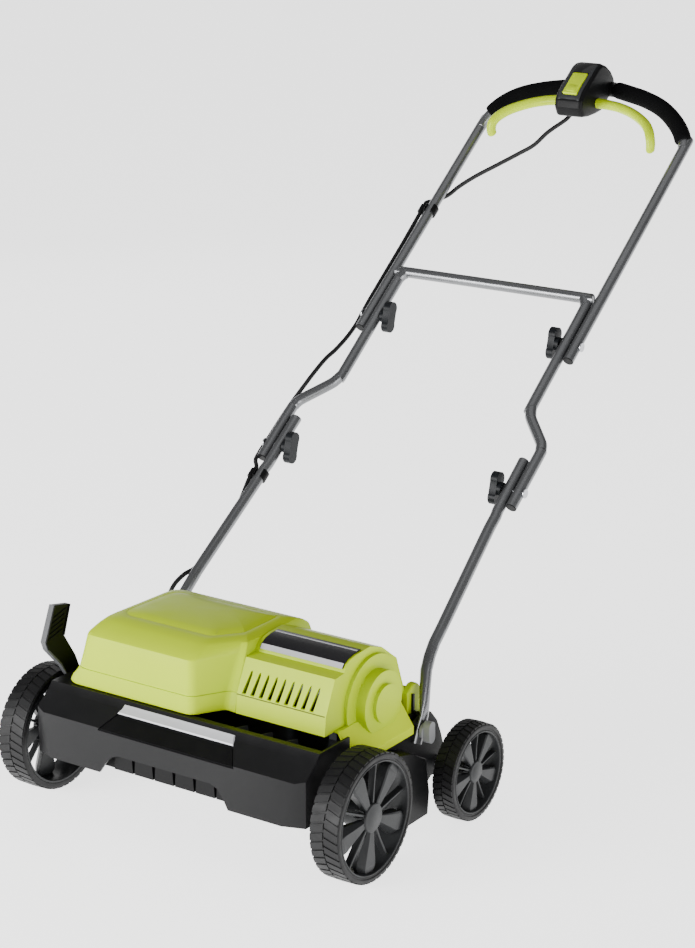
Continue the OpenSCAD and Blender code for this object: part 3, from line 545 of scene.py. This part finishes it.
def make_depth_lever_trim():
    edge = Shape()
    edge.prism(PLATE_EDGE, across, *PLATE_X)
    edge.prism(STEM_EDGE, across, *STEM_X)
    edge.make("depth_lever_front_edge", "lever_edge", "front_axle", bevel=0.4, segments=2, angle=30)
    ribs = Shape()
    for z in range(PLATE_FOOT, 302, 8):
        near, far = -44 + (z - PLATE_FOOT) * 0.4, -8 + (z - PLATE_FOOT) * 0.34
        ribs.prism([(near, z), (far, z + 9), (far, z + 11.5), (near, z + 2.5)], across, *RIB_X)
    ribs.prism([(-48, 262), (-43, 248), (-40, 250), (-45, 262), (-22, 315.4), (-25, 317)], across, *RIM_X)
    ribs.prism([(-4, 262), (-7, 262), (9, 309.6), (12, 309)], across, *RIM_X)
    ribs.make("depth_lever_ribs", "trim_plastic", "front_axle", bevel=0.3, segments=2, angle=30)


make_hood_left()
make_hinge_ears()
make_badge_strip()
make_intake_fins()
make_hood_right_trim()
make_depth_lever_trim()


# ---- Handle tubes: right halves, in the handle's own frame ----
UPPER = [
    (38, 864, 25), (64, 857, 26), (100, 847, 27), (135, 833, 27), (160, 819, 24), (180, 804, 18),
    (194, 790, 11), (203, 776, 5), (207, 762, 1), (208, 748, 0), (208, 272, 0),
]
MIDDLE = [
    (170, 404, 4), (177, 402, 4), (183, 397, 4), (187, 389, 3), (188.5, 380, 2), (188.5, 176, 0),
    (190, 164, 0), (194, 153, 0), (201, 142, 0), (233, 107, 0), (241, 97, 0), (245, 86, 0), (246.5, 74, 0),
    (246.5, -31, 0),
]
TUBE_R = 9.5
BORE_R = 8.3
PLUG_R = 8.9
# Piece, body, x, and the plug's inner and outer ends along the slope
PLUGS = (
    ("upper_tube_plugs", "upper_handle", 208, 274, 270.8),
    ("middle_frame_plugs", "middle_handle", 246.5, -28, -32.2),
    ("lower_tube_plugs", "lower_handle", 226, 58, 61.9),
)


def whole(half):
    return [(-x, s, o) for x, s, o in reversed(half)] + half


def smooth_run(points, place, steps=5):
    return [place(*p) for p in curve(points, steps)]


def ring_pipe(shape, points, r_out, r_in, up, n=28):
    """Open tube with a wall, so that its ends show a hollow bore."""
    rings = []
    for i, p in enumerate(points):
        t = (points[min(i + 1, len(points) - 1)] - points[max(i - 1, 0)]).normalized()
        u = t.cross(up).normalized()
        rings.append((p, u, u.cross(t)))

    def loop(i, r):
        p, u, v = rings[i]
        return [p + u * (a * MM) + v * (b * MM) for a, b in circle(r, n)]

    outside = [loop(i, r_out) for i in range(len(rings))]
    inside = [loop(i, r_in) for i in range(len(rings) - 1, -1, -1)]
    return shape.loft(outside + inside, closed=True)


def make_tubes():
    for name, half, body, node in (("upper_tube_drawn", UPPER, "upper_handle", "upper_tube"),
                                   ("middle_frame_drawn", MIDDLE, "middle_handle", "middle_frame")):
        tube = ring_pipe(Shape(), smooth_run(whole(half), up_handle), TUBE_R, BORE_R, NORMAL)
        tube.make(name, "tube_paint", body, replaces=[node], angle=50)


def make_tube_plugs():
    """Black plugs in the open ends of the tubes."""
    for name, body, x, s0, s1 in PLUGS:
        plugs = Shape()
        for side in (-1, 1):
            ends = [up_handle(side * x, s0, 0), up_handle(side * x, s1, 0)]
            plugs.sweep(ends, circle(PLUG_R, 24), NORMAL)
        plugs.make(name, "trim_plastic", body, bevel=0.6, angle=40)


# ---- Grips and switch levers ----
GRIP_R = 15


def make_grips():
    """Foam sleeves, a little narrower at their ends."""
    grips = Shape()
    for side, last in ((1, 8), (-1, 7)):
        path = smooth_run([(side * x, s, o) for x, s, o in UPPER[:last]], up_handle, 6)
        n = len(path)
        radius = [GRIP_R - 1.5 * max(0, 1 - min(i, n - 1 - i) / 1.5) for i in range(n)]
        grips.sweep(path, [circle(r, 28) for r in radius], NORMAL)
    piece = grips.make("foam_grips_sleeved", "grip_foam", "upper_handle", replaces=["foam_grips"], angle=50)


# Middle line of a switch lever: x, s, o and half width
LEVER_MID = [
    (14, 812, 43, 8.6), (24, 812, 43, 9.6), (34, 812, 42, 9.8), (50, 811, 41.5, 9.4), (72, 808, 41, 9),
    (97, 800, 41, 8.8), (119, 789, 41, 8.8), (139, 775, 41, 8.8), (152.5, 760, 40, 8.6),
    (159.5, 748, 37, 8.4), (162, 741, 31, 8.2), (162, 736.5, 25, 8), (161, 734, 19.5, 7.4),
    (160.6, 733.4, 17, 5),
]
# Section: share of the half width, and height
LEVER_SECTION = [
    (1, 0), (0.95, 3.6), (0.74, 6.4), (0.4, 7.8), (0.12, 8.3), (-0.2, 7.6), (-0.55, 6.2), (-0.86, 3.8),
    (-1, 0.4), (-0.93, -4), (-0.66, -6.6), (-0.2, -7.4), (0.2, -7.4), (0.66, -6.6), (0.93, -4),
]
LEVER_THIN_BELOW = 7.6


def transported(points, up):
    """Two cross directions at each point, carried along the path without twist."""
    out, u = [], None
    for i in range(len(points)):
        t = (points[min(i + 1, len(points) - 1)] - points[max(i - 1, 0)]).normalized()
        u = t.cross(up) if u is None else u - t * u.dot(t)
        u.normalize()
        out.append((u, u.cross(t)))
    return out


def make_lever(side):
    path = [up_handle(*p) for p in curve([(side * x, s, o) for x, s, o, w in LEVER_MID], 5)]
    half = [w.x for w in curve([(w, 0, 0) for x, s, o, w in LEVER_MID], 5)]
    rings = []
    for p, h, (u, v) in zip(path, half, transported(path, NORMAL)):
        low = min(1, h / LEVER_THIN_BELOW)
        rings.append([p + u * (a * h * MM) + v * (b * MM * low) for a, b in LEVER_SECTION])
    body = "switch_lever_" + ("right" if side > 0 else "left")
    Shape().loft(rings).make(body + "_curved", "lever_plastic", body, replaces=[body], angle=40)


# ---- Switch box: rounded side profile, a satin frame round the button and a glossy strip above it ----
BOX = [
    (759, 58), (762, 76), (772, 86), (790, 91), (852, 91), (866, 86), (876, 72), (883, 52), (884, 34),
    (876, 20), (819, 17), (798, 28), (776, 43),
]
BOX_CORNERS = [8, 8, 14, 16, 16, 16, 16, 16, 16, 12, 16, 14, 12]
BOX_MIDDLE = (824, 55)
# Half of the rings across the box: x, and how far the outline is drawn in
BOX_SIDE = [(19, 0), (22.5, 0.3), (25.6, 1.6), (27.4, 4), (28, 7)]
GRIP_BAR = (864, 25)
COLLAR_R = 13.5


def box_ring(x, inset):
    cs, co = BOX_MIDDLE
    ring = []
    for s, o in rounded(BOX, BOX_CORNERS, 4):
        d = math.hypot(s - cs, o - co)
        ring.append(up_handle(x, s - (s - cs) / d * inset, o - (o - co) / d * inset))
    return ring


def make_switch_box():
    stations = [(-x, inset) for x, inset in reversed(BOX_SIDE)] + BOX_SIDE
    box = Shape().loft([box_ring(x, inset) for x, inset in stations])
    ring_pipe(box, [up_handle(x, *GRIP_BAR) for x in (-33.5, -30, 30, 33.5)], COLLAR_R, TUBE_R, NORMAL)
    box.make("switch_box_moulded", "trim_plastic", "upper_handle", replaces=["switch_box"], angle=40)


STRIP_DEPTH = 5


def face_strip(name, material, half, run, hole=None):
    """A strip laid along the (s, o) profile of the box face; hole leaves a window in x."""
    shape = Shape()
    run = [(p.x, p.y) for p in curve([(s, o, 0) for s, o in run], 4)]
    for lo, hi in ([(-half, half)] if hole is None else [(-half, -hole), (hole, half)]):
        rings = []
        for s, o in run:
            section = [(lo, o - STRIP_DEPTH), (lo, o - 0.6), (lo + 0.8, o), (hi - 0.8, o), (hi, o - 0.6),
                       (hi, o - STRIP_DEPTH)]
            rings.append([up_handle(x, s, height) for x, height in section])
        shape.loft(rings)
    shape.make(name, material, "upper_handle", angle=40)


def plate(shape, outline, heights, grow):
    """Stacked rings of one outline on the handle, drawn in about its middle."""
    cx = sum(p[0] for p in outline) / len(outline)
    cy = sum(p[1] for p in outline) / len(outline)

    def inward(value, middle, g):
        gap = value - middle
        return value if abs(gap) <= 0.1 else value - g * math.copysign(min(abs(gap), 1), gap)

    return shape.loft([[up_handle(inward(x, cx, g), inward(y, cy, g), h) for x, y in outline]
                       for h, g in zip(heights, grow)])


def make_start_button():
    """A plate with a raised pad on its lower half."""
    button = Shape()
    face = rounded([(-14.6, 782), (14.6, 782), (14.6, 833), (-14.6, 833)], 3, 4)
    pad = rounded([(-9, 786), (9, 786), (9, 801), (-9, 801)], 3, 4)
    plate(button, face, [87, 92.6, 93.6, 94], [0, 0, 0.5, 1.6])
    plate(button, pad, [93, 94.6, 95.2], [0, 0.1, 0.8])
    button.make("start_button_moulded", "lever_plastic", "start_button", replaces=["start_button"], angle=50)


make_tubes()
make_tube_plugs()
make_grips()
make_lever(1)
make_lever(-1)
make_switch_box()
face_strip("switch_frame_sides", "frame_satin", 22,
           [(766, 76), (774, 87), (790, 92.4), (820, 92.6), (846, 92.4), (858, 90)], hole=15.6)
face_strip("switch_frame_lower", "frame_satin", 21.6, [(765, 74), (769, 82), (776, 88), (780.6, 90.2)])
face_strip("switch_gloss_strip", "dark_gloss", 19,
           [(834.6, 92.4), (846, 92.4), (860, 89.6), (870, 82.4), (875, 74.5)])
make_start_button()


# ---- Supply lead: three fixed runs, swept as tubes ----
LEAD_R = 3.8
LEAD_UPPER = [
    (-10, 788, 40), (-15, 778, 38.5), (-20, 768, 37), (-45, 742, 30), (-66, 718, 19), (-93, 700, 11),
    (-129, 674, 3), (-162, 650, -4), (-187, 627, -10), (-204, 606, -15), (-219, 588, -11), (-225.5, 571, 0),
    (-225.5, 563.5, 0), (-225.5, 544.5, 0), (-225.5, 536, 0), (-223, 470, 1), (-222.5, 404, 1),
    (-223.5, 340, -1), (-225.5, 306, -5),
]
LEAD_MIDDLE = [
    (-225.5, 305, -5), (-226.5, 285, -8), (-229, 255, -8), (-230, 217, 0), (-232, 189, 8), (-236, 159, 10),
    (-244, 125, 6), (-259, 83, -6), (-262, 42, -7.5), (-264, 12, -9), (-264, -12, -8),
]
LEAD_LOWER = [
    (-264, 517, 436), (-261, 499, 425), (-247, 482.33, 419.56), (-246, 476.78, 415.3), (-246, 469.64, 409.82),
    (-246, 462.5, 404.34), (-246, 456.94, 400.08), (-244, 438, 380), (-243, 400, 335), (-247, 360, 304),
    (-254, 320, 283), (-260, 296, 276), (-266, 276, 262), (-269, 264, 240), (-270, 258, 205),
    (-271, 253, 175), (-273, 248.5, 159), (-271.5, 246.2, 151), (-268.5, 246, 150), (-265, 246, 150),
]


def make_lead(name, node, run, place, bodies):
    """One run, swept as a tube and baked into the row frame; it rides no body."""
    shape = Shape().sweep(smooth_run(run, place, 6), circle(LEAD_R, 14), NORMAL)
    piece = shape.make(name, "lead_rubber", bodies[1], replaces=[node], angle=60, ride=False)
    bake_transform(piece)


make_lead("lead_upper_run", "lead_upper", LEAD_UPPER, up_handle, ("middle_handle", "upper_handle"))
make_lead("lead_middle_run", "lead_middle", LEAD_MIDDLE, up_handle, ("lower_handle", "middle_handle"))
make_lead("lead_lower_run", "lead_lower", LEAD_LOWER, at, ("deck", "lower_handle"))


# ---- Stage and light ----
FLOOR_HALF = 60
FLOOR_Z = -0.0005


def make_floor():
    floor = bpy.data.objects.new("floor", bpy.data.meshes.new("floor"))
    bpy.context.scene.collection.objects.link(floor)
    corners = [(x * FLOOR_HALF, y * FLOOR_HALF, FLOOR_Z) for x, y in ((-1, -1), (1, -1), (1, 1), (-1, 1))]
    floor.data.from_pydata(corners, [], [(0, 1, 2, 3)])
    pale = finish_material("floor", (0.86, 0.86, 0.86, 1), (0.88, 0.88, 0.88, 1), (0.6, 0.7), 300, 0.02)
    floor.data.materials.append(pale)
    shader = pale.node_tree.nodes["Principled BSDF"]
    shader.inputs["Emission Color"].default_value = (1, 1, 1, 1)
    shader.inputs["Emission Strength"].default_value = 2.2


def area_light(name, place, aim, size, power):
    light = bpy.data.objects.new(name, bpy.data.lights.new(name, "AREA"))
    bpy.context.scene.collection.objects.link(light)
    light.data.energy = power
    light.data.shape = "RECTANGLE"
    light.data.size, light.data.size_y = size
    light.location = place
    light.rotation_mode = "QUATERNION"
    light.rotation_quaternion = (Vector(aim) - Vector(place)).to_track_quat("-Z", "Y")


def make_world(strength):
    world = bpy.data.worlds.new("world")
    bpy.context.scene.world = world
    world.use_nodes = True
    background = world.node_tree.nodes["Background"]
    background.inputs["Color"].default_value = (1, 1, 1, 1)
    background.inputs["Strength"].default_value = strength


make_floor()
area_light("key", (-1.7, -3.8, 1.1), (0, -0.45, 0.25), (2.2, 1.6), 230)
area_light("side", (3.4, -1.6, 1.0), (0.1, -0.3, 0.3), (1.8, 1.8), 64)
area_light("top", (0.3, 0.4, 3.4), (0, 0, 0.2), (3.0, 3.0), 14)
area_light("back", (-2.8, 2.4, 1.6), (0, 0.2, 0.6), (1.4, 1.4), 12)
make_world(0.26)
